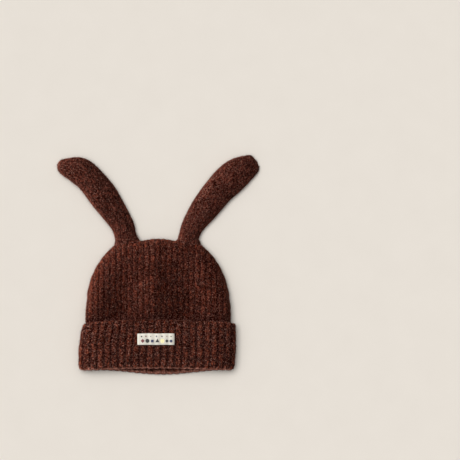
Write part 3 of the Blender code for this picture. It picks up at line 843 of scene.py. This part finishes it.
tape_columns, tape_rows = 130, 44
tape_x = np.linspace(-0.5, 0.5, tape_columns)[None, :]
tape_y = np.linspace(-0.5, 0.5, tape_rows)[:, None]
rounding = 1 - 0.012 * np.abs(2 * tape_x) ** 8 * np.abs(2 * tape_y) ** 8
tape_across = LABEL_ACROSS + tape_x * LABEL_WIDTH * rounding + 0 * tape_y
wander = TAPE_WANDER * uneven(tape_x * 9, 2 * np.sign(tape_y), 51)
tape_up = LABEL_UP + tape_y * LABEL_HEIGHT * rounding + wander
rim = np.maximum(np.abs(2 * tape_x) ** 30, np.abs(2 * tape_y) ** 14)
over_ribs = TAPE_RIB * np.cos(2 * math.pi * tape_across / TAPE_RIB_SPACING)
puckers = TAPE_PUCKER * uneven(tape_x * 14, tape_y * 6, 52)
turned_in = 0.0001 * np.exp(-(((np.abs(tape_x) - TURNED_IN_AT) / 0.006) ** 2))
tape_level = on_ribs(tape_across) + TAPE_THICKNESS - TAPE_EDGE_DROP * rim + over_ribs + puckers - turned_in
tape_top = np.stack([tape_across, tape_up, tape_level], -1)
tape_back = np.stack([tape_across, tape_up, on_ribs(tape_across) + 0.00002], -1)
tape_points = np.concatenate([tape_top.reshape(-1, 3), tape_back.reshape(-1, 3)])
tape_faces = []
under = tape_columns * tape_rows
for j in range(tape_rows - 1):
    for i in range(tape_columns - 1):
        a = j * tape_columns + i
        b = a + tape_columns
        tape_faces.append((a, a + 1, b + 1, b))
        tape_faces.append((under + a, under + b, under + b + 1, under + a + 1))
edge = list(range(tape_columns - 1))
edge += [j * tape_columns + tape_columns - 1 for j in range(tape_rows - 1)]
edge += [tape_rows * tape_columns - 1 - i for i in range(tape_columns - 1)]
edge += [(tape_rows - 1 - j) * tape_columns for j in range(tape_rows - 1)]
for a, b in zip(edge, edge[1:] + edge[:1]):
    tape_faces.append((b, a, under + a, under + b))
tape_mesh = bpy.data.meshes.new("label_tape")
tape_mesh.from_pydata(tape_points.tolist(), [], tape_faces)
tape_mesh.shade_smooth()
tape = bpy.data.objects.new("label_tape", tape_mesh)
bpy.context.collection.objects.link(tape)

weave = Recipe("cream_tape")
warp = weave.threads(weave.place(), 400.0, "X", Distortion=0.6, Detail=1.0)
weft = weave.threads(weave.place(), 560.0, "Y", Distortion=0.6, Detail=1.0)
threads = weave.maths("MULTIPLY", warp, weft)
aged = weave.noise(weave.place(), 260.0, Detail=3.0)
cream = weave.steps(threads, (0.0, (0.42, 0.40, 0.35)), (0.5, (0.61, 0.59, 0.535)))
cream = weave.blend(1.0, cream, weave.steps(aged, (0.3, (0.93, 0.92, 0.89)), (0.7, (1, 1, 1))), "MULTIPLY")
weave.feed(weave.shader, {"Base Color": cream, "Roughness": 0.75, "Sheen Weight": 0.1})
weave.feed(weave.shader, {"Normal": weave.bump(threads, 0.5, 0.00015)})
tape_mesh.materials.append(weave.material)
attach(tape, "root")
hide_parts("label")


def dyed_thread(name, colour):
    """Close stitches of one dyed thread."""
    recipe = Recipe(name + "_thread")
    strands = recipe.threads(recipe.place(), 700.0, "DIAGONAL", Distortion=1.5)
    faded = recipe.steps(strands, (0.0, [0.55 * c for c in colour]), (1.0, [1.25 * c for c in colour]))
    recipe.feed(recipe.shader, {"Base Color": faded, "Roughness": 0.6, "Sheen Weight": 0.05})
    recipe.feed(recipe.shader, {"Normal": recipe.bump(strands, 0.5, 0.0001)})
    return recipe.material


THREADS = {
    "black": (0.012, 0.010, 0.010),
    "maroon": (0.13, 0.025, 0.03),
    "navy": (0.020, 0.028, 0.075),
    "yellow": (0.72, 0.66, 0.36),
}
motif_points, motif_faces, motif_colours = [], [], []
for colour, across, up, size, sides, turned in MOTIFS:
    start = len(motif_points)
    for share, raised in ((1.0, 0.00002), (1.0, 0.00010), (0.82, 0.00016)):
        for k in range(sides):
            turn = math.radians(turned) + 2 * math.pi * k / sides
            x = LABEL_ACROSS + across + share * size * math.cos(turn)
            y = LABEL_UP + up + share * size * math.sin(turn)
            motif_points.append((x, y, float(on_ribs(x)) + TAPE_THICKNESS + MOTIF_SEAT + raised))
    for ring in range(2):
        for k in range(sides):
            a, b = start + ring * sides + k, start + ring * sides + (k + 1) % sides
            motif_faces.append((a, b, b + sides, a + sides))
    motif_faces.append(tuple(range(start + 2 * sides, start + 3 * sides)))
    motif_faces.append(tuple(range(start + sides - 1, start - 1, -1)))
    motif_colours += [list(THREADS).index(colour)] * (2 * sides + 2)
motif_mesh = bpy.data.meshes.new("label_motifs")
motif_mesh.from_pydata(motif_points, [], motif_faces)
for name, colour in THREADS.items():
    motif_mesh.materials.append(dyed_thread(name, colour))
motif_mesh.polygons.foreach_set("material_index", motif_colours)
motifs = bpy.data.objects.new("label_motifs", motif_mesh)
bpy.context.collection.objects.link(motifs)
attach(motifs, "root")

# The floor
# A plain pale surface that the hat lies on, with a faint grain.
FLOOR_HALF = 40
floor_mesh = bpy.data.meshes.new("floor")
corners = [(x * FLOOR_HALF, y * FLOOR_HALF, 0) for x, y in ((-1, -1), (1, -1), (1, 1), (-1, 1))]
floor_mesh.from_pydata(corners, [], [(0, 1, 2, 3)])
floor = bpy.data.objects.new("floor", floor_mesh)
bpy.context.collection.objects.link(floor)
paper = Recipe("pale_paper")
grain = paper.noise(paper.place(), 30.0, Detail=2.0)
pale = paper.steps(grain, (0.3, (0.772, 0.727, 0.668)), (0.7, (0.784, 0.739, 0.680)))
paper.feed(paper.shader, {"Base Color": pale, "Roughness": 0.9, "Specular IOR Level": 0.2})
floor_mesh.materials.append(paper.material)
floor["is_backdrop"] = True

# The light
# A soft lamp high at the upper left and a wide pale ceiling light everything. A window low at the left lights
# only the hat's flanks, so that the floor stays even, and pale walls all round fill the shadows.
def soft_sun(name, energy, angle, colour, rays):
    """A far lamp as wide as angle, in degrees, whose light runs along rays."""
    lamp = bpy.data.lights.new(name, "SUN")
    lamp.energy = energy
    lamp.angle = math.radians(angle)
    lamp.color = colour
    sun = bpy.data.objects.new(name, lamp)
    sun.rotation_euler = Vector(rays).to_track_quat("-Z", "Y").to_euler()
    bpy.context.collection.objects.link(sun)
    sun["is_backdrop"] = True
    return sun


soft_sun("softbox", 1.60, 34, (1.0, 0.985, 0.965), (0.20, -0.18, -1.0))
soft_sun("ceiling", 0.95, 75, (1.0, 0.99, 0.975), (0.16, -0.12, -1.0))
window = soft_sun("window", 8.6, 24, (1.0, 0.985, 0.97), (0.93, -0.24, -0.20))
hat_pieces = bpy.data.collections.new("hat_pieces")
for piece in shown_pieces():
    hat_pieces.objects.link(piece)
window.light_linking.receiver_collection = hat_pieces
studio = bpy.data.worlds.new("studio")
studio.use_nodes = True
walls = studio.node_tree.nodes["Background"]
walls.inputs["Color"].default_value = (1.0, 0.99, 0.975, 1)
walls.inputs["Strength"].default_value = 0.24
bpy.context.scene.world = studio
bpy.context.scene.view_settings.view_transform = "Standard"

# The camera
# It looks straight down through a long lens, with the hat in the lower left of its view.
VIEW_WIDTH = 0.5258
VIEW_MIDDLE = (0.0822, 0.1326)
VIEW_LEVEL = 0.010
CAMERA_HEIGHT = 12.0
SENSOR_WIDTH = 36
camera_data = bpy.data.cameras.new("camera")
camera_data.sensor_width = SENSOR_WIDTH
camera_data.lens = SENSOR_WIDTH * CAMERA_HEIGHT / VIEW_WIDTH
camera = bpy.data.objects.new("camera", camera_data)
camera.location = (*VIEW_MIDDLE, VIEW_LEVEL + CAMERA_HEIGHT)
bpy.context.collection.objects.link(camera)
bpy.context.scene.camera = camera
